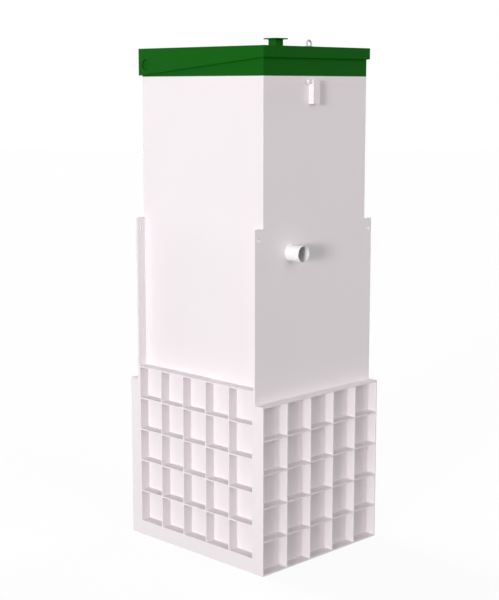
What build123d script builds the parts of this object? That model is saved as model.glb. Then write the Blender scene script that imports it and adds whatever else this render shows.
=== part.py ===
from build123d import *
import os

# A septic tank of welded polypropylene sheet: a tall hollow body with rib lattices round its foot,
# and on top a collar with a hinged wedge-shaped lid.
# Millimetres, +Z up, the front faces -Y, and the origin is under the middle of the body.

# Body walls and floor
BODY_WIDTH = 1000.0
BODY_DEPTH = 1160.0
BODY_HEIGHT = 3246.0
WALL = 15.0
FLOOR = 15.0

# Ears: the front and rear walls run out past the sides up to this height
EAR_WIDTH = 75.0
EAR_HEIGHT = 2282.0
LIFT_HOLE_RADIUS = 12.5
LIFT_HOLE_DROP = 70.0

# Rib lattices round the foot, and the sill under those on the sides
RIB_PLATE = 10.0
RIB_DEPTH = 75.0
LATTICE_HEIGHT = 1140.0
LATTICE_COLUMNS = 5
LATTICE_ROWS = 5
SILL_HEIGHT = 94.0
SILL_PLATE = 15.0

# Inlet stub on the front wall
INLET_RADIUS = 55.0
INLET_WALL = 3.4
INLET_LENGTH = 115.0
INLET_X = -241.0
INLET_Z = 2109.0

# Cable box and its sleeve on the front wall
CABLE_BOX_LEFT = -75.0
CABLE_BOX_WIDTH = 60.0
CABLE_BOX_DEPTH = 40.0
CABLE_BOX_HEIGHT = 155.0
CABLE_BOX_DROP = 24.0
CABLE_BOX_SHEET = 5.0
SLEEVE_RADIUS = 12.5
SLEEVE_WALL = 8.0
SLEEVE_LENGTH = 34.0
SLEEVE_DROP = 12.5

# Collar round the mouth, flush with the walls
COLLAR_HEIGHT = 176.0
COLLAR_SHEET = 15.0
COLLAR_REAR_DROP = 25.0

# Lid, its hinge and the clearances that it swings in
LID_SHEET = 12.0
LID_FRONT_DEPTH = 74.0
LID_REAR_DEPTH = 181.0
LID_BACK_DEPTH = 40.0
LID_SEAT = 0.3
SKIRT_GAP = 5.0
PIVOT_FROM_REAR = 55.0
PIVOT_HEIGHT = 79.0
PIVOT_RADIUS = 35.5
PIVOT_CLEARANCE = 0.5
PIVOT_RECESS = 8.0

# Vent on the lid
VENT_SIDE = 70.0
VENT_WALL = 5.0
VENT_HEIGHT = 56.0
VENT_CAP_SIDE = 116.0
VENT_CAP_SHEET = 8.0
VENT_FROM_FRONT = 389.0

# D-shaped lifting ring near the lid's front edge
RING_RADIUS = 26.0
RING_WIRE_RADIUS = 6.25
RING_HEIGHT = 48.5
RING_FOOT_HEIGHT = 8.0
RING_FOOT_MARGIN = 1.5
RING_FROM_FRONT = 89.0

# Places that follow from the driving sizes
SIDE = BODY_WIDTH / 2
FRONT = -BODY_DEPTH / 2
REAR = BODY_DEPTH / 2
EAR_SIDE = SIDE + EAR_WIDTH
PLATE_FRONT = FRONT + WALL
PLATE_REAR = REAR - WALL
COLLAR_TOP = BODY_HEIGHT + COLLAR_HEIGHT
LID_UNDER = COLLAR_TOP + LID_SEAT
LID_TOP = LID_UNDER + LID_SHEET
LID_INNER_SIDE = SIDE + SKIRT_GAP
LID_SIDE = LID_INNER_SIDE + LID_SHEET
LID_INNER_REAR = REAR + SKIRT_GAP
LID_REAR = LID_INNER_REAR + LID_SHEET
LID_FRONT = -LID_REAR
PIVOT_Y = REAR - PIVOT_FROM_REAR
PIVOT_Z = BODY_HEIGHT + PIVOT_HEIGHT
VENT_Y = LID_FRONT + VENT_FROM_FRONT
VENT_BORE = VENT_SIDE - 2 * VENT_WALL
CABLE_BOX_TOP = BODY_HEIGHT - CABLE_BOX_DROP


def block(x, y, z):
    """Returns a box that fills the given low and high limits along each axis."""
    centre = Pos((x[0] + x[1]) / 2, (y[0] + y[1]) / 2, (z[0] + z[1]) / 2)
    return centre * Box(x[1] - x[0], y[1] - y[0], z[1] - z[0])


def rod_x(radius, x, y, z):
    """Returns a round bar along X between two limits, through the given Y and Z."""
    return Pos((x[0] + x[1]) / 2, y, z) * Rot(0, 90, 0) * Cylinder(radius, x[1] - x[0])


def rod_y(radius, x, y, z):
    """Returns a round bar along Y between two limits, through the given X and Z."""
    return Pos(x, (y[0] + y[1]) / 2, z) * Rot(90, 0, 0) * Cylinder(radius, y[1] - y[0])


def across(solid):
    """Returns the mirror image of a solid on the other side of the tank."""
    return mirror(solid, about=Plane.YZ)


def together(pieces):
    """Returns like pieces that don't touch as one compound."""
    return Compound([solid for piece in pieces for solid in piece.solids()])


def save(name, shape):
    """Writes one piece to its own file."""
    export_step(shape, os.path.join("parts", name + ".step"))


def end_wall(y):
    """Returns a front or rear wall: one sheet with an ear at each side and a lifting hole in each ear."""
    sheet = block((-EAR_SIDE, EAR_SIDE), y, (0, EAR_HEIGHT))
    sheet += block((-SIDE, SIDE), y, (EAR_HEIGHT, BODY_HEIGHT))
    for side in (-1, 1):
        hole_x = side * (SIDE + EAR_WIDTH / 2)
        sheet -= rod_y(LIFT_HOLE_RADIUS, hole_x, y, EAR_HEIGHT - LIFT_HOLE_DROP)
    return sheet


def fin_runs(run):
    """Returns the limits of each fin along a lattice."""
    pitch = (run[1] - run[0] - RIB_PLATE) / LATTICE_COLUMNS
    starts = [run[0] + pitch * column for column in range(LATTICE_COLUMNS + 1)]
    return [(start, start + RIB_PLATE) for start in starts]


def lattice(run, base, place):
    """Returns the fins and shelves of one lattice.

    run holds its limits along the wall and base its lowest level; place makes a box from limits along
    the wall and up it. The top shelf lies over the fins, and the others stand between them.
    """
    fins = fin_runs(run)
    top = base + LATTICE_HEIGHT
    under_top = top - RIB_PLATE
    row_pitch = (LATTICE_HEIGHT - RIB_PLATE) / LATTICE_ROWS
    shelves = [place(run, (under_top, top))]
    for row in range(LATTICE_ROWS):
        level = base + row_pitch * row
        for near, far in zip(fins, fins[1:]):
            shelves.append(place((near[1], far[0]), (level, level + RIB_PLATE)))
    return [place(fin, (base, under_top)) for fin in fins], shelves


def collar_cheek():
    """Returns the collar's left side: a sheet whose top rear corner is round, for the lid to swing past."""
    x = (-SIDE, -SIDE + COLLAR_SHEET)
    corner_z = COLLAR_TOP - PIVOT_FROM_REAR
    cheek = block(x, (FRONT + COLLAR_SHEET, PIVOT_Y), (BODY_HEIGHT, COLLAR_TOP))
    cheek += block(x, (PIVOT_Y, REAR), (BODY_HEIGHT, corner_z))
    return cheek + rod_x(PIVOT_FROM_REAR, x, PIVOT_Y, corner_z)


def collar_back():
    """Returns the collar's rear side, which is lower than the rest for the lid to swing past."""
    inner_side = SIDE - COLLAR_SHEET
    return block((-inner_side, inner_side), (REAR - COLLAR_SHEET, REAR),
                 (BODY_HEIGHT, COLLAR_TOP - COLLAR_REAR_DROP))


def side_skirt():
    """Returns the lid's left skirt: deeper to the rear, with a round hole for the pivot."""
    outline = Polyline((LID_FRONT + LID_SHEET, LID_UNDER), (LID_REAR, LID_UNDER),
                       (LID_REAR, LID_TOP - LID_REAR_DEPTH),
                       (LID_FRONT + LID_SHEET, LID_TOP - LID_FRONT_DEPTH), close=True)
    skirt = Pos(-LID_SIDE, 0, 0) * extrude(Plane.YZ * make_face(outline), LID_SHEET)
    return skirt - rod_x(PIVOT_RADIUS + PIVOT_CLEARANCE, (-LID_SIDE, -LID_INNER_SIDE), PIVOT_Y, PIVOT_Z)


def vent_duct():
    """Returns the square vent duct on the lid."""
    z = (LID_TOP, LID_TOP + VENT_HEIGHT)
    outer = VENT_SIDE / 2
    bore = VENT_BORE / 2
    duct = block((-outer, outer), (VENT_Y - outer, VENT_Y + outer), z)
    return duct - block((-bore, bore), (VENT_Y - bore, VENT_Y + bore), z)


def lifting_ring():
    """Returns the steel ring near the lid's front edge: a bow on two legs that stand on a flat foot."""
    leg_x = RING_RADIUS - RING_WIRE_RADIUS
    y = LID_FRONT + RING_FROM_FRONT
    foot_top = LID_TOP + RING_FOOT_HEIGHT
    bow_z = LID_TOP + RING_HEIGHT - RING_RADIUS
    foot_x = RING_RADIUS + RING_FOOT_MARGIN
    foot_y = RING_WIRE_RADIUS + RING_FOOT_MARGIN
    ring = block((-foot_x, foot_x), (y - foot_y, y + foot_y), (LID_TOP, foot_top))
    for x in (-leg_x, leg_x):
        ring += Pos(x, y, (foot_top + bow_z) / 2) * Cylinder(RING_WIRE_RADIUS, bow_z - foot_top)
    bow = Torus(leg_x, RING_WIRE_RADIUS, major_angle=180, align=None)
    return ring + Pos(0, y, bow_z) * Rot(90, 0, 0) * bow


def sleeve_rod(radius, x):
    """Returns a round bar on the cable sleeve's axis."""
    return rod_x(radius, x, FRONT - CABLE_BOX_DEPTH / 2, CABLE_BOX_TOP - SLEEVE_DROP)


def cable_box():
    """Returns the cable box, open towards the wall, with a hole for the sleeve in its left side."""
    x = (CABLE_BOX_LEFT, CABLE_BOX_LEFT + CABLE_BOX_WIDTH)
    y = (FRONT - CABLE_BOX_DEPTH, FRONT)
    z = (CABLE_BOX_TOP - CABLE_BOX_HEIGHT, CABLE_BOX_TOP)
    case = block(x, y, z)
    case -= block((x[0] + CABLE_BOX_SHEET, x[1] - CABLE_BOX_SHEET), (y[0] + CABLE_BOX_SHEET, FRONT),
                  (z[0] + CABLE_BOX_SHEET, z[1] - CABLE_BOX_SHEET))
    return case - sleeve_rod(SLEEVE_RADIUS - SLEEVE_WALL, (x[0], x[0] + CABLE_BOX_SHEET))


os.makedirs("parts", exist_ok=True)

# Body: floor, side walls between the end walls, and the end walls
inner_side = SIDE - WALL
save("floor_plate", block((-inner_side, inner_side), (PLATE_FRONT, PLATE_REAR), (0, FLOOR)))
left_wall = block((-SIDE, -inner_side), (PLATE_FRONT, PLATE_REAR), (0, BODY_HEIGHT))
save("left_wall", left_wall)
save("right_wall", across(left_wall))
inlet_bore = INLET_RADIUS - INLET_WALL
save("front_wall", end_wall((FRONT, PLATE_FRONT)) - rod_y(inlet_bore, INLET_X, (FRONT, PLATE_FRONT), INLET_Z))
save("rear_wall", end_wall((PLATE_REAR, REAR)))

# Rib lattices: those at the ends span the ears, those at the sides stand between the ears on a sill
front_fins, front_shelves = lattice((-EAR_SIDE, EAR_SIDE), 0,
                                    lambda run, z: block(run, (FRONT - RIB_DEPTH, FRONT), z))
rear_fins, rear_shelves = lattice((-EAR_SIDE, EAR_SIDE), 0,
                                  lambda run, z: block(run, (REAR, REAR + RIB_DEPTH), z))
left_fins, left_shelves = lattice((PLATE_FRONT, PLATE_REAR), SILL_HEIGHT,
                                  lambda run, z: block((-EAR_SIDE, -SIDE), run, z))
save("front_fins", together(front_fins))
save("front_shelves", together(front_shelves))
save("rear_fins", together(rear_fins))
save("rear_shelves", together(rear_shelves))
save("left_fins", together(left_fins))
save("left_shelves", together(left_shelves))
save("right_fins", together([across(fin) for fin in left_fins]))
save("right_shelves", together([across(shelf) for shelf in left_shelves]))
left_sill = block((-EAR_SIDE, -EAR_SIDE + SILL_PLATE), (PLATE_FRONT, PLATE_REAR), (0, SILL_HEIGHT))
save("left_sill", left_sill)
save("right_sill", across(left_sill))

# Fittings on the front wall
inlet_y = (FRONT - INLET_LENGTH, FRONT)
inlet_rod = rod_y(INLET_RADIUS, INLET_X, inlet_y, INLET_Z)
save("inlet_pipe", inlet_rod - rod_y(inlet_bore, INLET_X, inlet_y, INLET_Z))
save("cable_box", cable_box())
sleeve_x = (CABLE_BOX_LEFT - SLEEVE_LENGTH, CABLE_BOX_LEFT)
save("cable_sleeve", sleeve_rod(SLEEVE_RADIUS, sleeve_x) - sleeve_rod(SLEEVE_RADIUS - SLEEVE_WALL, sleeve_x))

# Collar and the pivots on its sides
save("collar_front", block((-SIDE, SIDE), (FRONT, FRONT + COLLAR_SHEET), (BODY_HEIGHT, COLLAR_TOP)))
left_cheek = collar_cheek()
save("collar_left", left_cheek)
save("collar_right", across(left_cheek))
save("collar_rear", collar_back())
left_pivot = rod_x(PIVOT_RADIUS, (-LID_SIDE + PIVOT_RECESS, -SIDE), PIVOT_Y, PIVOT_Z)
save("left_pivot", left_pivot)
save("right_pivot", across(left_pivot))

# Lid with its skirts, vent and ring
vent_hole = block((-VENT_BORE / 2, VENT_BORE / 2), (VENT_Y - VENT_BORE / 2, VENT_Y + VENT_BORE / 2),
                  (LID_UNDER, LID_TOP))
save("lid_top", block((-LID_SIDE, LID_SIDE), (LID_FRONT, LID_REAR), (LID_UNDER, LID_TOP)) - vent_hole)
save("lid_front_skirt", block((-LID_SIDE, LID_SIDE), (LID_FRONT, LID_FRONT + LID_SHEET),
                              (LID_TOP - LID_FRONT_DEPTH, LID_UNDER)))
save("lid_rear_skirt", block((-LID_INNER_SIDE, LID_INNER_SIDE), (LID_INNER_REAR, LID_REAR),
                             (LID_TOP - LID_BACK_DEPTH, LID_UNDER)))
left_skirt = side_skirt()
save("lid_left_skirt", left_skirt)
save("lid_right_skirt", across(left_skirt))
cap_half = VENT_CAP_SIDE / 2
cap_under = LID_TOP + VENT_HEIGHT
save("vent_duct", vent_duct())
save("vent_cap", block((-cap_half, cap_half), (VENT_Y - cap_half, VENT_Y + cap_half),
                       (cap_under, cap_under + VENT_CAP_SHEET)))
save("lid_ring", lifting_ring())
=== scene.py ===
"""Looks of a septic tank welded from polypropylene sheet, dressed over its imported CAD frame.

Every length is in metres in the frame of the CAD model: +Z up, the front towards -Y and the ground
at Z = 0.
"""
import logging
import math
from dataclasses import dataclass, field
from enum import Enum
from typing import Optional, Sequence

import bmesh
import bpy
from mathutils import Matrix, Vector


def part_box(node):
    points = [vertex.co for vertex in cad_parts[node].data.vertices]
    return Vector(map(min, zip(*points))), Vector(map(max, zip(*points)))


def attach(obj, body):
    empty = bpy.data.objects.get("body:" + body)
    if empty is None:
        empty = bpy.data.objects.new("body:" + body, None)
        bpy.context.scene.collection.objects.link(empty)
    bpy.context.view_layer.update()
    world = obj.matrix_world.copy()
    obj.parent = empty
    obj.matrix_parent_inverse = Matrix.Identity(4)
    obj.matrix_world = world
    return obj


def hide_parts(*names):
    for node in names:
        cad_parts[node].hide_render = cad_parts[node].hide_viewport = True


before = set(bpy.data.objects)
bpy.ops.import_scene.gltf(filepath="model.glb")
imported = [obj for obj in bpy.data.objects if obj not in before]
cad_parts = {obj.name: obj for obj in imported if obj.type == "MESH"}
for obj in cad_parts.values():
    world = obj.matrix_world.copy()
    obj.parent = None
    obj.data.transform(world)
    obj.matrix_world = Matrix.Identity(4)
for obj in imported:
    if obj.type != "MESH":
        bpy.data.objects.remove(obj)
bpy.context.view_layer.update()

LOG = logging.getLogger("septic_tank")
MM = 0.001
UP = Vector((0, 0, 1))
WELD_ALONG = "weld_along"
# Points nearer than the first of these are one, and an edge nearer than the second lies in a seam.
MERGED = 0.01 * MM
ON_SEAM = 0.1 * MM
# Largest angles between faces of a flat sheet and of a round surface, and the least at a sawn edge.
FLAT = math.radians(1)
ROUND = math.radians(35)
SAWN = math.radians(40)
# A Mix node's sockets for colours: the two that it mixes, and what it gives.
COLOUR_A, COLOUR_B, COLOUR_OUT = 6, 7, 2


class Body(Enum):
    """Bodies of the frame that pieces ride on."""

    TANK = "tank"
    LID = "lid"


class Slot(Enum):
    """Material slots of the record."""

    SHEET = "pp_sheet"
    PIPE = "pipe"
    GREEN = "green_sheet"
    ZINC = "zinc"


class Side(Enum):
    """Sides of the tank, each by the direction that it faces."""

    FRONT = (0, -1, 0)
    REAR = (0, 1, 0)
    LEFT = (-1, 0, 0)
    RIGHT = (1, 0, 0)

    @property
    def out(self) -> Vector:
        """Direction away from the tank."""
        return Vector(self.value)

    @property
    def along(self) -> Vector:
        """Level direction along the side."""
        return UP.cross(self.out)


def linear(hex_colour: str) -> tuple[float, float, float, float]:
    """Turns an sRGB hex colour into Blender's linear colour.

    Args:
        hex_colour: six hex digits after a hash sign.

    Returns:
        Red, green, blue and full alpha.
    """
    shares = [int(hex_colour[at:at + 2], 16) / 255 for at in (1, 3, 5)]
    # The sRGB curve has a short straight foot and then a power.
    red, green, blue = (s / 12.92 if s <= 0.04045 else ((s + 0.055) / 1.055) ** 2.4 for s in shares)
    return red, green, blue, 1.0


def per_metre(size_mm: float) -> float:
    """Returns the texture scale at which one cell of a pattern has the given size."""
    return 1 / (size_mm * MM)


def add_node(tree: bpy.types.NodeTree, kind: str, settings: Optional[dict] = None,
             links: Optional[dict] = None) -> bpy.types.Node:
    """Adds a shader node with its settings and links.

    Args:
        tree: node tree that takes the node.
        kind: Blender's name for the kind of node.
        settings: values for the node's own properties, or for its inputs by name or number.
        links: output sockets to join to its inputs, by name or number.

    Returns:
        The new node.
    """
    node = tree.nodes.new(kind)
    for key, value in (settings or {}).items():
        if isinstance(key, str) and hasattr(node, key):
            setattr(node, key, value)
        else:
            node.inputs[key].default_value = value
    for key, output in (links or {}).items():
        tree.links.new(output, node.inputs[key])
    return node


@dataclass(frozen=True)
class Finish:
    """A surface finish, which makes its material once.

    Attributes:
        name: common name of the material and of how its surface was made.
        colour: sRGB colour of the material.
        roughness: roughness of its surface.
        specular: strength of its mirror-like share, where 0.5 is what its IOR gives.
        ior: index of refraction.
    """

    name: str
    colour: str
    roughness: float
    specular: float = 0.5
    ior: float = 1.5

    def material(self) -> bpy.types.Material:
        """Makes the finish's material at its first use.

        Returns:
            The material.
        """
        made = bpy.data.materials.get(self.name)
        if made is None:
            made = bpy.data.materials.new(self.name)
            made.use_nodes = True
            made.node_tree.nodes.clear()
            shader = add_node(made.node_tree, "ShaderNodeBsdfPrincipled", {
                "Base Color": linear(self.colour), "Roughness": self.roughness,
                "Specular IOR Level": self.specular, "IOR": self.ior})
            add_node(made.node_tree, "ShaderNodeOutputMaterial",
                     links={"Surface": shader.outputs[0]})
            self.dress(made.node_tree, shader)
        return made

    def dress(self, tree: bpy.types.NodeTree, shader: bpy.types.Node) -> None:
        """Adds the finish's own pattern to its shader.

        Args:
            tree: node tree of the material.
            shader: its shader node.
        """


@dataclass(frozen=True)
class SheetFinish(Finish):
    """Plastic sheet, extruded and drawn between rolls.

    The rolls leave a satin face with a soft orange peel, faint draw lines up the sheet, and a slow
    mottle where the melt cooled unevenly. Lines and peel are drawn coarser than the real ones,
    which are too fine to show at this size of picture.

    Attributes:
        mottle: sRGB colour at the other end of the mottle.
        mottle_mm: width of the mottle's patches.
        mottle_detail: how many finer patterns the mottle holds.
        line_mm: spacing of the draw lines.
        line_length_mm: length over which a draw line fades.
        line_depth_mm: depth of the draw lines.
        line_detail: how many finer patterns the draw lines hold.
        peel_mm: grain of the orange peel.
        peel_depth_mm: depth of the orange peel.
        peel_detail: how many finer patterns the orange peel holds.
        roughness_spread: how far the roughness wanders each way.
    """

    mottle: str = field(kw_only=True)
    mottle_mm: float = 380.0
    mottle_detail: float = 3.0
    line_mm: float = 22.0
    line_length_mm: float = 1800.0
    line_depth_mm: float = 0.12
    line_detail: float = 2.0
    peel_mm: float = 5.0
    peel_depth_mm: float = 0.03
    peel_detail: float = 1.0
    roughness_spread: float = 0.06

    def dress(self, tree: bpy.types.NodeTree, shader: bpy.types.Node) -> None:
        """Adds mottle, draw lines and orange peel.

        Args:
            tree: node tree of the material.
            shader: its shader node.
        """
        place = add_node(tree, "ShaderNodeTexCoord").outputs["Object"]
        patches = add_node(tree, "ShaderNodeTexNoise", {
            "Scale": per_metre(self.mottle_mm), "Detail": self.mottle_detail}, {"Vector": place})
        tint = add_node(tree, "ShaderNodeMix", {
            "data_type": "RGBA", COLOUR_A: linear(self.colour), COLOUR_B: linear(self.mottle)},
            {0: patches.outputs[0]})
        wander = add_node(tree, "ShaderNodeMapRange", {
            "To Min": self.roughness - self.roughness_spread,
            "To Max": self.roughness + self.roughness_spread}, {"Value": patches.outputs[0]})
        across = per_metre(self.line_mm)
        drawn = add_node(tree, "ShaderNodeMapping", {
            "Scale": (across, across, per_metre(self.line_length_mm))}, {"Vector": place})
        lines = add_node(tree, "ShaderNodeTexNoise", {
            "Scale": 1.0, "Detail": self.line_detail}, {"Vector": drawn.outputs[0]})
        peel = add_node(tree, "ShaderNodeTexNoise", {
            "Scale": per_metre(self.peel_mm), "Detail": self.peel_detail}, {"Vector": place})
        line_bump = add_node(tree, "ShaderNodeBump", {"Distance": self.line_depth_mm * MM},
                             {"Height": lines.outputs[0]})
        peel_bump = add_node(tree, "ShaderNodeBump", {"Distance": self.peel_depth_mm * MM},
                             {"Height": peel.outputs[0], "Normal": line_bump.outputs[0]})
        tree.links.new(tint.outputs[COLOUR_OUT], shader.inputs["Base Color"])
        tree.links.new(wander.outputs[0], shader.inputs["Roughness"])
        tree.links.new(peel_bump.outputs[0], shader.inputs["Normal"])


@dataclass(frozen=True)
class WeldFinish(Finish):
    """Extrusion weld in the sheet's own plastic, glossier than it and rippled across the bead.

    Attributes:
        ripple_mm: spacing of the ripples along the bead.
        ripple_depth_mm: height of a ripple.
    """

    ripple_mm: float = 5.0
    ripple_depth_mm: float = 0.25

    def dress(self, tree: bpy.types.NodeTree, shader: bpy.types.Node) -> None:
        """Adds ripples that follow the bead.

        Args:
            tree: node tree of the material.
            shader: its shader node.
        """
        along = add_node(tree, "ShaderNodeAttribute", {"attribute_name": WELD_ALONG})
        turns = math.tau * per_metre(self.ripple_mm)
        phase = add_node(tree, "ShaderNodeMath", {"operation": "MULTIPLY", 1: turns},
                         {0: along.outputs["Fac"]})
        wave = add_node(tree, "ShaderNodeMath", {"operation": "SINE"}, {0: phase.outputs[0]})
        bump = add_node(tree, "ShaderNodeBump", {"Distance": self.ripple_depth_mm * MM},
                        {"Height": wave.outputs[0]})
        tree.links.new(bump.outputs[0], shader.inputs["Normal"])


@dataclass(frozen=True)
class PipeFinish(Finish):
    """Plastic pipe, extruded: a smooth skin with faint lines along it.

    Attributes:
        along: direction of the lines.
        line_mm: spacing of the lines round the pipe.
        line_length_mm: length over which a line fades.
        line_depth_mm: depth of the lines.
        line_detail: how many finer patterns the lines hold.
    """

    along: tuple[float, float, float] = (0, 1, 0)
    line_mm: float = 6.0
    line_length_mm: float = 300.0
    line_depth_mm: float = 0.05
    line_detail: float = 2.0

    def dress(self, tree: bpy.types.NodeTree, shader: bpy.types.Node) -> None:
        """Adds the lines along the pipe.

        Args:
            tree: node tree of the material.
            shader: its shader node.
        """
        place = add_node(tree, "ShaderNodeTexCoord").outputs["Object"]
        scale = tuple(per_metre(self.line_length_mm if part else self.line_mm)
                      for part in self.along)
        drawn = add_node(tree, "ShaderNodeMapping", {"Scale": scale}, {"Vector": place})
        lines = add_node(tree, "ShaderNodeTexNoise", {
            "Scale": 1.0, "Detail": self.line_detail}, {"Vector": drawn.outputs[0]})
        bump = add_node(tree, "ShaderNodeBump", {"Distance": self.line_depth_mm * MM},
                        {"Height": lines.outputs[0]})
        tree.links.new(bump.outputs[0], shader.inputs["Normal"])


@dataclass(frozen=True)
class ZincFinish(Finish):
    """Forged steel, zinc plated: grey metal with a cloudy, slightly dulled skin.

    Attributes:
        cloud: sRGB colour of the dulled patches.
        cloud_mm: width of the patches.
        cloud_detail: how many finer patterns the patches hold.
        roughness_spread: how much rougher the patches are.
    """

    cloud: str = "#8A8C8E"
    cloud_mm: float = 9.0
    cloud_detail: float = 4.0
    roughness_spread: float = 0.15

    def dress(self, tree: bpy.types.NodeTree, shader: bpy.types.Node) -> None:
        """Adds the clouding and makes the shader a metal.

        Args:
            tree: node tree of the material.
            shader: its shader node.
        """
        shader.inputs["Metallic"].default_value = 1.0
        place = add_node(tree, "ShaderNodeTexCoord").outputs["Object"]
        clouds = add_node(tree, "ShaderNodeTexNoise", {
            "Scale": per_metre(self.cloud_mm), "Detail": self.cloud_detail}, {"Vector": place})
        tint = add_node(tree, "ShaderNodeMix", {
            "data_type": "RGBA", COLOUR_A: linear(self.colour), COLOUR_B: linear(self.cloud)},
            {0: clouds.outputs[0]})
        dull = add_node(tree, "ShaderNodeMapRange", {
            "To Min": self.roughness, "To Max": self.roughness + self.roughness_spread},
            {"Value": clouds.outputs[0]})
        tree.links.new(tint.outputs[COLOUR_OUT], shader.inputs["Base Color"])
        tree.links.new(dull.outputs[0], shader.inputs["Roughness"])


# Sheet drawn between polished rolls: a satin, milky white with broad soft lights and no mirror.
WHITE_SHEET = SheetFinish("white_polypropylene_sheet_extruded", "#E6DFE2", roughness=0.5,
                          specular=0.35, mottle="#E9E2E5")
# The same sheet dyed through: a deep green, nearly matt, whose colour stays even at any angle.
GREEN_SHEET = SheetFinish("green_polypropylene_sheet_extruded", "#115711", roughness=0.6,
                          specular=0.03, mottle="#125A12")
# A bead laid hot cools with a skin of its own: a thin line, glossier than the sheets beside it.
WHITE_WELD = WeldFinish("white_polypropylene_extrusion_weld", "#E6DFE2", roughness=0.4,
                        specular=0.4)
# The same bead in green, which shows only as a soft line in the corners.
GREEN_WELD = WeldFinish("green_polypropylene_extrusion_weld", "#115711", roughness=0.5,
                        specular=0.06)
# Pipe drawn through a sizing ring: whiter and smoother than the sheet, with a clear light along it.
WHITE_PIPE = PipeFinish("white_polypropylene_pipe_extruded", "#E8E7E8", roughness=0.35,
                        specular=0.4)
# A short end of such pipe that lies across, so its lines run from side to side.
WHITE_SLEEVE = PipeFinish("white_polypropylene_sleeve_extruded", "#E8E7E8", roughness=0.35,
                          specular=0.4, along=(1, 0, 0))
# Zinc on a forging: a pale grey metal whose lights are blurred and cloudy.
ZINC_STEEL = ZincFinish("zinc_plated_forged_steel", "#C8C9CA", roughness=0.5)


@dataclass(frozen=True)
class Stock:
    """What a piece is made of, and the body that it rides on.

    Attributes:
        finish: finish of the piece.
        slot: material slot of the record; not used.
        body: body of the frame.
    """

    finish: Finish
    slot: Slot
    body: Body

    def piece(self, name: str, shape: bmesh.types.BMesh, nodes: Sequence[str] = ()) -> None:
        """Makes a finished piece of the object.

        Args:
            name: name of the piece.
            shape: its mesh, which is freed.
            nodes: CAD nodes that it stands for.
        """
        mesh = bpy.data.meshes.new(name)
        shape.to_mesh(mesh)
        shape.free()
        mesh.shade_smooth()
        mesh.set_sharp_from_angle(angle=ROUND)
        mesh.materials.append(self.finish.material())
        piece = bpy.data.objects.new(name, mesh)
        bpy.context.scene.collection.objects.link(piece)
        shading = piece.modifiers.new("flat_faces_shade_flat", "WEIGHTED_NORMAL")
        shading.keep_sharp = True
        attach(piece, self.body.value)
        if nodes:
            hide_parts(*nodes)
        LOG.info("%s: %d faces, on %s", name, len(mesh.polygons), self.body.value)


WHITE_STOCK = Stock(WHITE_SHEET, Slot.SHEET, Body.TANK)
GREEN_STOCK = Stock(GREEN_SHEET, Slot.GREEN, Body.TANK)
GREEN_LID_STOCK = Stock(GREEN_SHEET, Slot.GREEN, Body.LID)
WHITE_WELD_STOCK = Stock(WHITE_WELD, Slot.SHEET, Body.TANK)
GREEN_WELD_STOCK = Stock(GREEN_WELD, Slot.GREEN, Body.TANK)
GREEN_LID_WELD_STOCK = Stock(GREEN_WELD, Slot.GREEN, Body.LID)
PIPE_STOCK = Stock(WHITE_PIPE, Slot.PIPE, Body.TANK)
SLEEVE_STOCK = Stock(WHITE_SLEEVE, Slot.PIPE, Body.TANK)
ZINC_STOCK = Stock(ZINC_STEEL, Slot.ZINC, Body.LID)


def corners(node: str) -> tuple[Vector, Vector]:
    """Returns the lowest and highest corners of a CAD node."""
    low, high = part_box(node)
    return Vector(low), Vector(high)


@dataclass(frozen=True)
class Seam:
    """A line or plane in which sheets meet flush, so that their edges there stay square.

    Attributes:
        x: distance from the middle of the tank, or None where the seam runs that way.
        y: the same from front to rear.
        z: height, or None where the seam runs upwards.
    """

    x: Optional[float] = None
    y: Optional[float] = None
    z: Optional[float] = None

    def holds(self, edge: bmesh.types.BMEdge) -> bool:
        """Tells whether an edge lies in the seam.

        Args:
            edge: edge of a sheet.

        Returns:
            Whether both its ends lie in the seam or in the seam's mirror image.
        """
        limits = (self.x, self.y, self.z)
        places = [(axis, place) for axis, place in enumerate(limits) if place is not None]
        return all(abs(abs(end.co[axis]) - place) < ON_SEAM
                   for end in edge.verts for axis, place in places)


@dataclass(frozen=True)
class SheetWork:
    """Pieces sawn from plastic sheet: CAD solids with their edges scraped round.

    Attributes:
        nodes: CAD nodes, each of which becomes a piece of its own.
        stock: what they are made of.
        edge: radius of a scraped edge.
        edge_steps: faces across a scraped edge.
        seams: where edges stay square.
    """

    nodes: Sequence[str]
    stock: Stock
    edge: float = 1.0 * MM
    edge_steps: int = 2
    seams: Sequence[Seam] = ()

    def build(self) -> None:
        """Makes a piece of each node."""
        for node in self.nodes:
            shape = bmesh.new()
            shape.from_mesh(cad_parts[node].data)
            bmesh.ops.remove_doubles(shape, verts=shape.verts, dist=MERGED)
            bmesh.ops.dissolve_limit(shape, angle_limit=FLAT, verts=shape.verts, edges=shape.edges)
            sharp = [edge for edge in shape.edges if edge.is_manifold
                     and edge.calc_face_angle() > SAWN
                     and not any(seam.holds(edge) for seam in self.seams)]
            bmesh.ops.bevel(shape, geom=sharp, offset=self.edge, offset_type="OFFSET",
                            affect="EDGES", segments=self.edge_steps, profile=0.5, material=-1,
                            clamp_overlap=True)
            self.stock.piece(node + "_sheet", shape, (node,))


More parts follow.
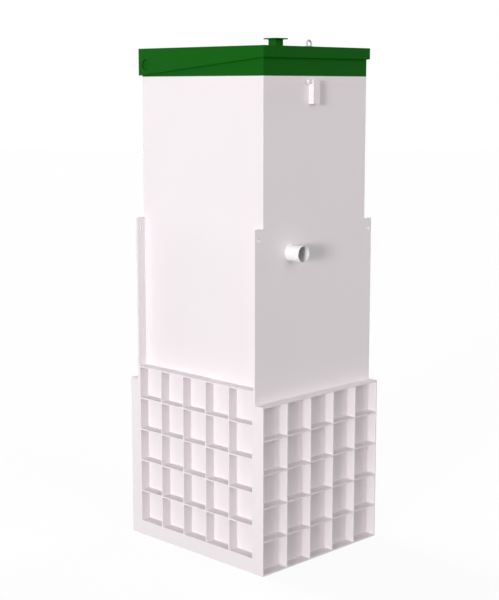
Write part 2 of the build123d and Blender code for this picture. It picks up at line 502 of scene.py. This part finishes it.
def turn(profile: Sequence[tuple[float, float]], centre: Vector, axis: Vector, flats: int,
         closed: bool = True) -> bmesh.types.BMesh:
    """Turns a profile about an axis.

    Args:
        profile: points as radius and distance along the axis.
        centre: point on the axis from which the distances count.
        axis: direction of the axis, along the frame.
        flats: number of flats round the axis.
        closed: whether the profile joins up, or starts and ends on the axis.

    Returns:
        The turned shape.
    """
    shape = bmesh.new()
    radial = Vector((axis.y, axis.z, axis.x))
    ends = [shape.verts.new(centre + radial * radius + axis * distance)
            for radius, distance in profile]
    pairs = list(zip(ends, ends[1:] + ends[:1]))
    edges = [shape.edges.new(pair) for pair in (pairs if closed else pairs[:-1])]
    bmesh.ops.spin(shape, geom=ends + edges, cent=centre, axis=axis, dvec=(0, 0, 0),
                   angle=math.tau, steps=flats, use_merge=True)
    bmesh.ops.remove_doubles(shape, verts=shape.verts, dist=MERGED)
    bmesh.ops.recalc_face_normals(shape, faces=shape.faces)
    return shape


@dataclass
class WeldRun:
    """Extrusion welds of one place, laid as fillets in corners between sheets, as one piece.

    Attributes:
        name: name of the piece.
        stock: what the welds are made of.
        leg: reach of a fillet on each sheet.
        crown: how far its face stands proud of a straight line, as a share of the leg.
        sink: how far it goes into the sheets.
        face_steps: flats across its face.
        shape: mesh that holds the welds.
    """

    name: str
    stock: Stock
    leg: float
    crown: float = 0.15
    sink: float = 0.2 * MM
    face_steps: int = 3
    shape: bmesh.types.BMesh = field(default_factory=bmesh.new)

    def __post_init__(self) -> None:
        """Gives the mesh the distance along each weld, which the ripple follows."""
        self.along = self.shape.loops.layers.float.new(WELD_ALONG)

    def section(self, first: Vector, second: Vector) -> list[Vector]:
        """Returns a fillet's outline between two sheets.

        Args:
            first: direction from the corner along one sheet.
            second: direction from the corner along the other.

        Returns:
            Points of the outline, from the corner.
        """
        root = -self.sink * (first + second)
        outward = (first + second).normalized()
        face = []
        for step in range(self.face_steps + 1):
            share = step / self.face_steps
            # A low arch from leg to leg, as high in its middle as the crown says.
            proud = 4 * self.crown * self.leg * share * (1 - share)
            face.append(root + self.leg * first.lerp(second, share) + proud * outward)
        return [root, *face]

    def straight(self, start: Vector, end: Vector, first: Vector, second: Vector) -> None:
        """Lays a straight weld.

        Args:
            start: corner point where it starts.
            end: corner point where it ends.
            first: direction from the corner along one sheet.
            second: direction from the corner along the other.
        """
        near = [self.shape.verts.new(start + point) for point in self.section(first, second)]
        cap = self.shape.faces.new(near)
        grown = bmesh.ops.extrude_face_region(self.shape, geom=[cap])["geom"]
        far = [part for part in grown if isinstance(part, bmesh.types.BMVert)]
        bmesh.ops.translate(self.shape, verts=far, vec=end - start)
        run = (end - start).normalized()
        for side in {face for vert in near + far for face in vert.link_faces}:
            for loop in side.loops:
                loop[self.along] = (loop.vert.co - start).dot(run)

    def round_pipe(self, centre: Vector, axis: Vector, radius: float, flats: int) -> None:
        """Lays a weld round a pipe's root.

        Args:
            centre: where the pipe's axis meets the sheet.
            axis: direction of the pipe away from the sheet, along the frame.
            radius: outer radius of the pipe.
            flats: number of flats round the pipe.
        """
        radial = Vector((axis.y, axis.z, axis.x))
        before = set(self.shape.faces)
        ends = [self.shape.verts.new(centre + radial * radius + point)
                for point in self.section(radial, axis)]
        edges = [self.shape.edges.new(pair) for pair in zip(ends, ends[1:] + ends[:1])]
        bmesh.ops.spin(self.shape, geom=ends + edges, cent=centre, axis=axis, dvec=(0, 0, 0),
                       angle=math.tau, steps=flats, use_merge=True)
        across = axis.cross(radial)
        for flat in set(self.shape.faces) - before:
            middle = flat.calc_center_median() - centre
            start = math.atan2(middle.dot(across), middle.dot(radial))
            for loop in flat.loops:
                arm = loop.vert.co - centre
                angle = math.atan2(arm.dot(across), arm.dot(radial))
                loop[self.along] = radius * (start + math.remainder(angle - start, math.tau))

    def finish(self) -> None:
        """Makes the welds a piece."""
        bmesh.ops.recalc_face_normals(self.shape, faces=self.shape.faces)
        self.stock.piece(self.name, self.shape)


@dataclass
class Shell:
    """Box of the tank: its floor, side walls, and end walls whose lower parts stand out as ears.

    Attributes:
        end_walls: nodes of the end walls.
        others: nodes of the other sheets.
        weld_leg: reach of the corner welds.
        end_gap: how far a weld stops short of a sheet's end.
    """

    end_walls: tuple[str, str] = ("front_wall", "rear_wall")
    others: tuple[str, ...] = ("left_wall", "right_wall", "floor_plate")
    weld_leg: float = 8 * MM
    end_gap: float = 2 * MM

    def __post_init__(self) -> None:
        """Reads where the walls stand."""
        inner, outer = corners("right_wall")
        self.side, self.inner_side = outer.x, inner.x
        self.inner_end, self.top = outer.y, outer.z

    def build(self) -> None:
        """Cuts the sheets and welds them outside and inside."""
        seams = (Seam(x=self.side, y=self.inner_end), Seam(z=self.top))
        SheetWork(self.end_walls + self.others, WHITE_STOCK, seams=seams).build()
        self.weld_ears()
        self.weld_inside()

    def weld_ears(self) -> None:
        """Welds the ears to the side walls, above the ribs."""
        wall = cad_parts["front_wall"].data
        beside = self.side + self.weld_leg
        ear_top = max(vert.co.z for vert in wall.vertices if abs(vert.co.x) > beside)
        foot = corners("left_shelves")[1].z
        welds = WeldRun("ear_welds", WHITE_WELD_STOCK, self.weld_leg)
        for side in (-1, 1):
            for end in (-1, 1):
                corner = Vector((side * self.side, end * self.inner_end, 0))
                welds.straight(corner + UP * foot, corner + UP * (ear_top - self.end_gap),
                               Vector((side, 0, 0)), Vector((0, -end, 0)))
        welds.finish()

    def weld_inside(self) -> None:
        """Welds the walls to each other and to the floor."""
        floor = corners("floor_plate")[1].z
        sill = corners("collar_rear")[0].z
        welds = WeldRun("inner_welds", WHITE_WELD_STOCK, self.weld_leg)
        for sign in (-1, 1):
            for other in (-1, 1):
                corner = Vector((sign * self.inner_side, other * self.inner_end, 0))
                welds.straight(corner + UP * floor, corner + UP * (sill - self.end_gap),
                               Vector((-sign, 0, 0)), Vector((0, -other, 0)))
            welds.straight(Vector((-self.inner_side, sign * self.inner_end, floor)),
                           Vector((self.inner_side, sign * self.inner_end, floor)),
                           Vector((0, -sign, 0)), UP)
            welds.straight(Vector((sign * self.inner_side, -self.inner_end, floor)),
                           Vector((sign * self.inner_side, self.inner_end, floor)),
                           Vector((-sign, 0, 0)), UP)
        welds.finish()


@dataclass
class RibLattice:
    """Ribs round the foot of one side: upright fins, level shelves, and a weld in every corner.

    Attributes:
        side: side of the tank.
        columns: pockets along the side.
        rows: pockets up the side.
        plate: thickness of fins and shelves.
        weld_leg: reach of the welds.
        end_gap: how far a weld stops short of a rib's outer edge.
        sill: node of the board under the ribs, where there is one.
    """

    side: Side
    columns: int = 5
    rows: int = 5
    plate: float = 10 * MM
    weld_leg: float = 3.5 * MM
    end_gap: float = 2 * MM
    sill: Optional[str] = None

    @property
    def label(self) -> str:
        """The side's name in the nodes."""
        return self.side.name.lower()

    def __post_init__(self) -> None:
        """Reads the limits of the fins: along the side, and from the wall to their rim."""
        low, high = corners(self.label + "_fins")
        self.start, self.end = sorted((low.dot(self.side.along), high.dot(self.side.along)))
        self.wall, self.rim = sorted((low.dot(self.side.out), high.dot(self.side.out)))

    def build(self) -> None:
        """Cuts the ribs and welds them."""
        fins, shelves = self.label + "_fins", self.label + "_shelves"
        SheetWork([fins, shelves] + ([self.sill] if self.sill else []), WHITE_STOCK).build()
        welds = WeldRun(self.label + "_rib_welds", WHITE_WELD_STOCK, self.weld_leg)
        foot, top = (corner.z for corner in corners(shelves))
        column = (self.end - self.start - self.plate) / self.columns
        row = (top - foot - self.plate) / self.rows
        for across in range(self.columns):
            for up in range(self.rows):
                run = (self.start + across * column + self.plate,
                       self.start + (across + 1) * column)
                rise = (foot + up * row + self.plate, foot + (up + 1) * row)
                self.weld_pocket(welds, run, rise)
        welds.straight(self.point(self.start, self.wall, top), self.point(self.end, self.wall, top),
                       UP, self.side.out)
        welds.finish()

    def point(self, run: float, reach: float, height: float) -> Vector:
        """Returns a point by its places along the side, away from the tank and up."""
        return self.side.along * run + self.side.out * reach + UP * height

    def weld_pocket(self, welds: WeldRun, run: tuple[float, float],
                    rise: tuple[float, float]) -> None:
        """Welds the corners of one pocket.

        Args:
            welds: welds of the side.
            run: the pocket's limits along the side.
            rise: its limits in height.
        """
        out, along, rim = self.side.out, self.side.along, self.rim - self.end_gap
        for height, inward in zip(rise, (UP, -UP)):
            welds.straight(self.point(run[0], self.wall, height),
                           self.point(run[1], self.wall, height), inward, out)
        for place, sideways in zip(run, (along, -along)):
            welds.straight(self.point(place, self.wall, rise[0]),
                           self.point(place, self.wall, rise[1]), sideways, out)
            for height, inward in zip(rise, (UP, -UP)):
                welds.straight(self.point(place, self.wall, height), self.point(place, rim, height),
                               sideways, inward)


@dataclass
class InletStub:
    """Stub of pipe that the waste comes in by, welded on the front and chamfered for a coupling.

    Attributes:
        wall: thickness of the pipe.
        chamfer: width of the chamfer on the pipe's end.
        chamfer_length: length of that chamfer.
        mouth: rounding of the bore's edge.
        flats: flats round the pipe.
        weld_leg: reach of the weld at its root.
    """

    wall: float = 3.4 * MM
    chamfer: float = 1.6 * MM
    chamfer_length: float = 6 * MM
    mouth: float = 0.6 * MM
    flats: int = 96
    weld_leg: float = 4 * MM

    def build(self) -> None:
        """Turns the pipe and lays its weld."""
        low, high = corners("inlet_pipe")
        radius, length = (high.x - low.x) / 2, high.y - low.y
        root = Vector(((low.x + high.x) / 2, high.y, (low.z + high.z) / 2))
        bore = radius - self.wall
        profile = ((bore, 0), (radius, 0), (radius, length - self.chamfer_length),
                   (radius - self.chamfer, length), (bore + self.mouth, length),
                   (bore, length - self.mouth))
        stub = turn(profile, root, Side.FRONT.out, self.flats)
        PIPE_STOCK.piece("inlet_pipe_stub", stub, ("inlet_pipe",))
        welds = WeldRun("inlet_weld", WHITE_WELD_STOCK, self.weld_leg)
        welds.round_pipe(root, Side.FRONT.out, radius, self.flats)
        welds.finish()


@dataclass
class CableEntry:
    """Box on the front that a cable comes in by, with a sleeve in its left side.

    Attributes:
        sleeve_wall: thickness of the sleeve.
        mouth: rounding of the sleeve's edges.
        sleeve_flats: flats round the sleeve.
        weld_leg: reach of the weld round the box.
    """

    sleeve_wall: float = 8 * MM
    mouth: float = 0.8 * MM
    sleeve_flats: int = 40
    weld_leg: float = 2.5 * MM

    def build(self) -> None:
        """Makes the box, its weld and the sleeve."""
        SheetWork(("cable_box",), WHITE_STOCK).build()
        low, high = corners("cable_box")
        wall, out = high.y, Side.FRONT.out
        welds = WeldRun("cable_box_weld", WHITE_WELD_STOCK, self.weld_leg)
        for height, away in ((low.z, -UP), (high.z, UP)):
            welds.straight(Vector((low.x, wall, height)), Vector((high.x, wall, height)), away, out)
        for place, away in ((low.x, Side.LEFT.out), (high.x, Side.RIGHT.out)):
            welds.straight(Vector((place, wall, low.z)), Vector((place, wall, high.z)), away, out)
        welds.finish()
        self.turn_sleeve()

    def turn_sleeve(self) -> None:
        """Turns the sleeve."""
        low, high = corners("cable_sleeve")
        radius, length = (high.z - low.z) / 2, high.x - low.x
        root = Vector((high.x, (low.y + high.y) / 2, (low.z + high.z) / 2))
        bore = radius - self.sleeve_wall
        profile = ((bore, 0), (radius, 0), (radius, length - self.mouth),
                   (radius - self.mouth, length), (bore + self.mouth, length),
                   (bore, length - self.mouth))
        tube = turn(profile, root, Side.LEFT.out, self.sleeve_flats)
        SLEEVE_STOCK.piece("cable_sleeve_tube", tube, ("cable_sleeve",))


@dataclass
class Collar:
    """Green collar on top of the walls, with the pivots that the lid turns on.

    Attributes:
        sheets: nodes of the collar's sheets.
        pivots: nodes of the pivots and the sides that they are on.
        chamfer: chamfer of a pivot's rim.
        pivot_flats: flats round a pivot.
        weld_leg: reach of the welds in its corners.
    """

    sheets: tuple[str, ...] = ("collar_front", "collar_left", "collar_right", "collar_rear")
    pivots: tuple[tuple[str, Side], ...] = (("left_pivot", Side.LEFT), ("right_pivot", Side.RIGHT))
    chamfer: float = 1.5 * MM
    pivot_flats: int = 64
    weld_leg: float = 6 * MM

    def build(self) -> None:
        """Cuts the sheets, welds their corners and turns the pivots."""
        cheek_low, cheek_high = corners("collar_right")
        seams = (Seam(x=cheek_high.x, y=-cheek_low.y), Seam(x=cheek_low.x, y=cheek_high.y),
                 Seam(z=cheek_low.z))
        SheetWork(self.sheets, GREEN_STOCK, seams=seams).build()
        self.weld_corners(cheek_low, cheek_high)
        for node, side in self.pivots:
            self.turn_pivot(node, side)

    def weld_corners(self, cheek_low: Vector, cheek_high: Vector) -> None:
        """Welds the corners inside the collar.

        Args:
            cheek_low: lowest corner of the right cheek.
            cheek_high: its highest corner.
        """
        rear_low, rear_high = corners("collar_rear")
        welds = WeldRun("collar_welds", GREEN_WELD_STOCK, self.weld_leg)
        for sign in (-1, 1):
            for place, top, inward in ((cheek_low.y, cheek_high.z, 1),
                                       (rear_low.y, rear_high.z, -1)):
                corner = Vector((sign * cheek_low.x, place, 0))
                welds.straight(corner + UP * cheek_low.z, corner + UP * (top - self.weld_leg),
                               Vector((-sign, 0, 0)), Vector((0, inward, 0)))
        welds.finish()

    def turn_pivot(self, node: str, side: Side) -> None:
        """Turns a pivot with a chamfered rim.

        Args:
            node: CAD node of the pivot.
            side: side of the tank that it is on.
        """
        low, high = corners(node)
        radius, length = (high.z - low.z) / 2, high.x - low.x
        middle = (low + high) / 2
        root = middle - side.out * (length / 2)
        profile = ((0, 0), (radius, 0), (radius, length - self.chamfer),
                   (radius - self.chamfer, length), (0, length))
        disc = turn(profile, root, side.out, self.pivot_flats, closed=False)
        GREEN_STOCK.piece(node + "_disc", disc, (node,))


@dataclass
class Lid:
    """Green lid: a flat top with skirts, which are deeper towards the hinge.

    Attributes:
        sheets: nodes of the lid's sheets.
        weld_leg: reach of the welds under the lid, which stay clear of the collar.
    """

    sheets: tuple[str, ...] = ("lid_top", "lid_front_skirt", "lid_rear_skirt", "lid_left_skirt",
                               "lid_right_skirt")
    weld_leg: float = 4 * MM

    def build(self) -> None:
        """Cuts the sheets and welds them underneath."""
        top_low, top_high = corners("lid_top")
        front_low, front = corners("lid_front_skirt")
        side, end, under = corners("lid_right_skirt")[0].x, top_high.y, top_low.z
        seams = (Seam(x=top_high.x, z=under), Seam(y=end, z=under), Seam(x=side, y=end),
                 Seam(x=top_high.x, y=-front.y))
        SheetWork(self.sheets, GREEN_LID_STOCK, seams=seams).build()
        self.weld(side, under, (front.y, front_low.z))

    def weld(self, side: float, under: float, front: tuple[float, float]) -> None:
        """Welds the skirts to the top and to each other.

        Args:
            side: distance of the side skirts' inner faces from the middle.
            under: height of the top's underside.
            front: place of the front skirt's inner face, and height of its lower edge.
        """
        rear = corners("lid_rear_skirt")[0]
        welds = WeldRun("lid_welds", GREEN_LID_WELD_STOCK, self.weld_leg)
        for (place, edge), inward in ((front, 1), ((rear.y, rear.z), -1)):
            welds.straight(Vector((-side, place, under)), Vector((side, place, under)),
                           Vector((0, inward, 0)), -UP)
            for sign in (-1, 1):
                welds.straight(Vector((sign * side, place, edge + self.weld_leg)),
                               Vector((sign * side, place, under)),
                               Vector((-sign, 0, 0)), Vector((0, inward, 0)))
        for sign in (-1, 1):
            welds.straight(Vector((sign * side, front[0], under)),
                           Vector((sign * side, rear.y, under)), Vector((-sign, 0, 0)), -UP)
        welds.finish()


@dataclass
class Vent:
    """Square vent on the lid: a duct with a flat cap.

    Attributes:
        weld_leg: reach of the welds at its foot and under its cap.
    """

    weld_leg: float = 4 * MM

    def build(self) -> None:
        """Makes the duct, the cap and their welds."""
        SheetWork(("vent_duct", "vent_cap"), GREEN_LID_STOCK).build()
        low, high = corners("vent_duct")
        welds = WeldRun("vent_welds", GREEN_LID_WELD_STOCK, self.weld_leg)
        for height, upright in ((low.z, UP), (high.z, -UP)):
            for place, away in ((low.y, -1), (high.y, 1)):
                welds.straight(Vector((low.x, place, height)), Vector((high.x, place, height)),
                               Vector((0, away, 0)), upright)
            for place, away in ((low.x, -1), (high.x, 1)):
                welds.straight(Vector((place, low.y, height)), Vector((place, high.y, height)),
                               Vector((away, 0, 0)), upright)
        welds.finish()


@dataclass
class LiftingRing:
    """Forged D-shaped ring on the lid: a bow on two legs that stand on a flat foot.

    Attributes:
        wire: radius of the ring's wire.
        foot_height: height of the foot.
        foot_margin: how far the foot reaches past the wire.
        foot_round: rounding of the foot's edges.
        foot_round_steps: faces across that rounding.
        wire_flats: flats round the wire.
        bow_steps: steps along the bow.
    """

    wire: float = 6.25 * MM
    foot_height: float = 8 * MM
    foot_margin: float = 1.5 * MM
    foot_round: float = 1.2 * MM
    foot_round_steps: int = 3
    wire_flats: int = 24
    bow_steps: int = 36

    def __post_init__(self) -> None:
        """Reads the ring's limits and starts its mesh."""
        self.low, self.high = corners("lid_ring")
        self.shape = bmesh.new()

    def build(self) -> None:
        """Makes the foot and the wire as one forging."""
        self.forge_foot()
        self.bend_wire()
        bmesh.ops.recalc_face_normals(self.shape, faces=self.shape.faces)
        ZINC_STOCK.piece("lid_ring_forging", self.shape, ("lid_ring",))

    def forge_foot(self) -> None:
        """Makes the foot, rounded except where it lies on the lid."""
        size = self.high - self.low
        size.z = self.foot_height
        centre = self.low + size / 2
        bmesh.ops.create_cube(self.shape, size=1.0, matrix=Matrix.LocRotScale(centre, None, size))
        edges = [edge for edge in self.shape.edges
                 if max(vert.co.z for vert in edge.verts) > centre.z]
        bmesh.ops.bevel(self.shape, geom=edges, offset=self.foot_round, offset_type="OFFSET",
                        affect="EDGES", segments=self.foot_round_steps, profile=0.5, material=-1,
                        clamp_overlap=True)

    def bend_wire(self) -> None:
        """Leads the wire up one leg, round the bow and down the other leg."""
        middle = (self.low + self.high) / 2
        outer = self.high.x - middle.x - self.foot_margin
        bow = Vector((middle.x, middle.y, self.high.z - outer))
        root = Vector((middle.x - outer + self.wire, middle.y, self.low.z + self.foot_height / 2))
        rise = UP * (bow.z - root.z)
        ring = bmesh.ops.create_circle(self.shape, segments=self.wire_flats, radius=self.wire,
                                       matrix=Matrix.Translation(root))["verts"]
        end = self.lead({edge for vert in ring for edge in vert.link_edges}, rise)
        bent = bmesh.ops.spin(self.shape, geom=end, cent=bow, axis=Side.REAR.out, dvec=(0, 0, 0),
                              angle=math.pi, steps=self.bow_steps, use_merge=False)["geom_last"]
        self.lead({part for part in bent if isinstance(part, bmesh.types.BMEdge)}, -rise)
        open_ends = [edge for edge in self.shape.edges if edge.is_boundary]
        bmesh.ops.holes_fill(self.shape, edges=open_ends, sides=self.wire_flats)

    def lead(self, end: set[bmesh.types.BMEdge], way: Vector) -> list[bmesh.types.BMEdge]:
        """Leads the end of the wire straight on.

        Args:
            end: edges round the wire's end.
            way: how far to go and which way.

        Returns:
            The edges round the new end.
        """
        grown = bmesh.ops.extrude_edge_only(self.shape, edges=list(end))["geom"]
        moved = [part for part in grown if isinstance(part, bmesh.types.BMVert)]
        bmesh.ops.translate(self.shape, verts=moved, vec=way)
        return [part for part in grown if isinstance(part, bmesh.types.BMEdge)]


@dataclass(frozen=True)
class Softbox:
    """A broad, distant studio lamp.

    Attributes:
        name: name of the lamp.
        azimuth: degrees from the front, where 90 is from the right.
        level: brightness of a white surface that faces the lamp.
        elevation: degrees above the horizon.
        spread: width of the lamp as seen from the object, in degrees.
    """

    name: str
    azimuth: float
    level: float
    elevation: float = 12.0
    spread: float = 20.0

    def build(self) -> None:
        """Hangs the lamp."""
        data = bpy.data.lights.new(self.name, "SUN")
        data.energy = math.pi * self.level
        data.angle = math.radians(self.spread)
        heading, rise = math.radians(self.azimuth), math.radians(self.elevation)
        level_part = Vector((math.sin(heading), -math.cos(heading), 0)) * math.cos(rise)
        lamp = bpy.data.objects.new(self.name, data)
        lamp.rotation_mode = "QUATERNION"
        lamp.rotation_quaternion = (level_part + UP * math.sin(rise)).to_track_quat("Z", "Y")
        bpy.context.scene.collection.objects.link(lamp)


@dataclass
class Studio:
    """Plain studio: a pale floor, white surroundings and soft lamps.

    Attributes:
        lamps: lamps round the object.
        ambient: brightness that the surroundings give a white surface.
        floor_radius: how far the floor reaches.
        floor_flats: flats round the floor's rim.
        floor_colour: colour of the floor.
        floor_lift: light that shows on the floor besides what falls on it.
        floor_drop: how far the floor lies under the tank.
    """

    lamps: tuple[Softbox, ...] = (
        Softbox("left_softbox", azimuth=-90, level=0.23, elevation=3.0),
        Softbox("key_softbox", azimuth=-71, level=0.67, elevation=4.0, spread=12.0),
        Softbox("front_softbox", azimuth=0, level=0.24, elevation=15.0, spread=50.0),
        Softbox("right_softbox", azimuth=90, level=0.4),
        Softbox("rear_softbox", azimuth=180, level=0.6),
    )
    ambient: float = 0.42
    floor_radius: float = 60.0
    floor_flats: int = 96
    floor_colour: str = "#777777"
    floor_lift: float = 0.853
    floor_drop: float = 0.5 * MM

    def build(self) -> None:
        """Sets up the floor, the surroundings and the lamps."""
        self.lay_floor()
        self.surround()
        for lamp in self.lamps:
            lamp.build()
        bpy.context.scene.view_settings.view_transform = "Standard"

    @staticmethod
    def seen_directly(tree: bpy.types.NodeTree) -> bpy.types.NodeSocket:
        """Tells rays from the camera, a mirror-like face or glass from all others.

        Args:
            tree: node tree that takes the nodes.

        Returns:
            A socket that gives 1 for such rays and else 0.
        """
        rays = add_node(tree, "ShaderNodeLightPath")
        shown = add_node(tree, "ShaderNodeMath", {"operation": "MAXIMUM"}, {
            0: rays.outputs["Is Camera Ray"], 1: rays.outputs["Is Glossy Ray"]})
        return add_node(tree, "ShaderNodeMath", {"operation": "MAXIMUM"}, {
            0: shown.outputs[0], 1: rays.outputs["Is Transmission Ray"]}).outputs[0]

    def floor_material(self) -> bpy.types.Material:
        """Makes a matt paint that looks white where nothing shades it, and keeps shadows.

        Returns:
            The material.
        """
        material = bpy.data.materials.new("pale_matt_floor")
        material.use_nodes = True
        tree = material.node_tree
        tree.nodes.clear()
        matt = add_node(tree, "ShaderNodeBsdfDiffuse", {"Color": linear(self.floor_colour)})
        lift = add_node(tree, "ShaderNodeMath", {"operation": "MULTIPLY", 1: self.floor_lift},
                        {0: self.seen_directly(tree)})
        glow = add_node(tree, "ShaderNodeEmission", links={"Strength": lift.outputs[0]})
        both = add_node(tree, "ShaderNodeAddShader", links={0: matt.outputs[0], 1: glow.outputs[0]})
        add_node(tree, "ShaderNodeOutputMaterial", links={"Surface": both.outputs[0]})
        return material

    def lay_floor(self) -> None:
        """Lays a round pale floor."""
        shape = bmesh.new()
        bmesh.ops.create_circle(shape, cap_ends=True, segments=self.floor_flats,
                                radius=self.floor_radius,
                                matrix=Matrix.Translation((0, 0, -self.floor_drop)))
        mesh = bpy.data.meshes.new("studio_floor")
        shape.to_mesh(mesh)
        shape.free()
        mesh.materials.append(self.floor_material())
        floor = bpy.data.objects.new("studio_floor", mesh)
        bpy.context.scene.collection.objects.link(floor)

    def surround(self) -> None:
        """Makes surroundings that look white and give a soft, even light."""
        world = bpy.data.worlds.new("white_surroundings")
        world.use_nodes = True
        bpy.context.scene.world = world
        tree = world.node_tree
        tree.nodes.clear()
        white = (1, 1, 1, 1)
        light = add_node(tree, "ShaderNodeBackground", {"Color": white, "Strength": self.ambient})
        shown = add_node(tree, "ShaderNodeBackground", {"Color": white, "Strength": 1.0})
        pick = add_node(tree, "ShaderNodeMixShader", links={
            0: self.seen_directly(tree), 1: light.outputs[0], 2: shown.outputs[0]})
        add_node(tree, "ShaderNodeOutputWorld", links={"Surface": pick.outputs[0]})


@dataclass
class PhotoCamera:
    """Camera at the viewing angle of the photograph.

    Attributes:
        place: where it stands.
        heading: degrees that it is turned from +Y towards +X.
        dip: degrees that it looks below the horizon.
        lens: focal length in millimetres.
        sensor: length of the sensor along the picture's height, in millimetres.
    """

    place: tuple[float, float, float] = (-6.462, -6.378, 3.177)
    heading: float = 45.199
    dip: float = 9.226
    lens: float = 78.73
    sensor: float = 36.0

    def build(self) -> None:
        """Makes it the scene's camera."""
        data = bpy.data.cameras.new("photo_camera")
        data.lens = self.lens
        data.sensor_width = self.sensor
        camera = bpy.data.objects.new("photo_camera", data)
        camera.location = self.place
        camera.rotation_euler = (math.radians(90 - self.dip), 0, math.radians(-self.heading))
        bpy.context.scene.collection.objects.link(camera)
        bpy.context.scene.camera = camera


def main() -> None:
    """Dresses the tank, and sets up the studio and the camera."""
    logging.basicConfig(level=logging.INFO, format="%(name)s: %(message)s")
    Shell().build()
    RibLattice(Side.FRONT).build()
    RibLattice(Side.REAR).build()
    RibLattice(Side.LEFT, sill="left_sill").build()
    RibLattice(Side.RIGHT, sill="right_sill").build()
    InletStub().build()
    CableEntry().build()
    Collar().build()
    Lid().build()
    Vent().build()
    LiftingRing().build()
    Studio().build()
    PhotoCamera().build()


if __name__ == "__main__":
    main()
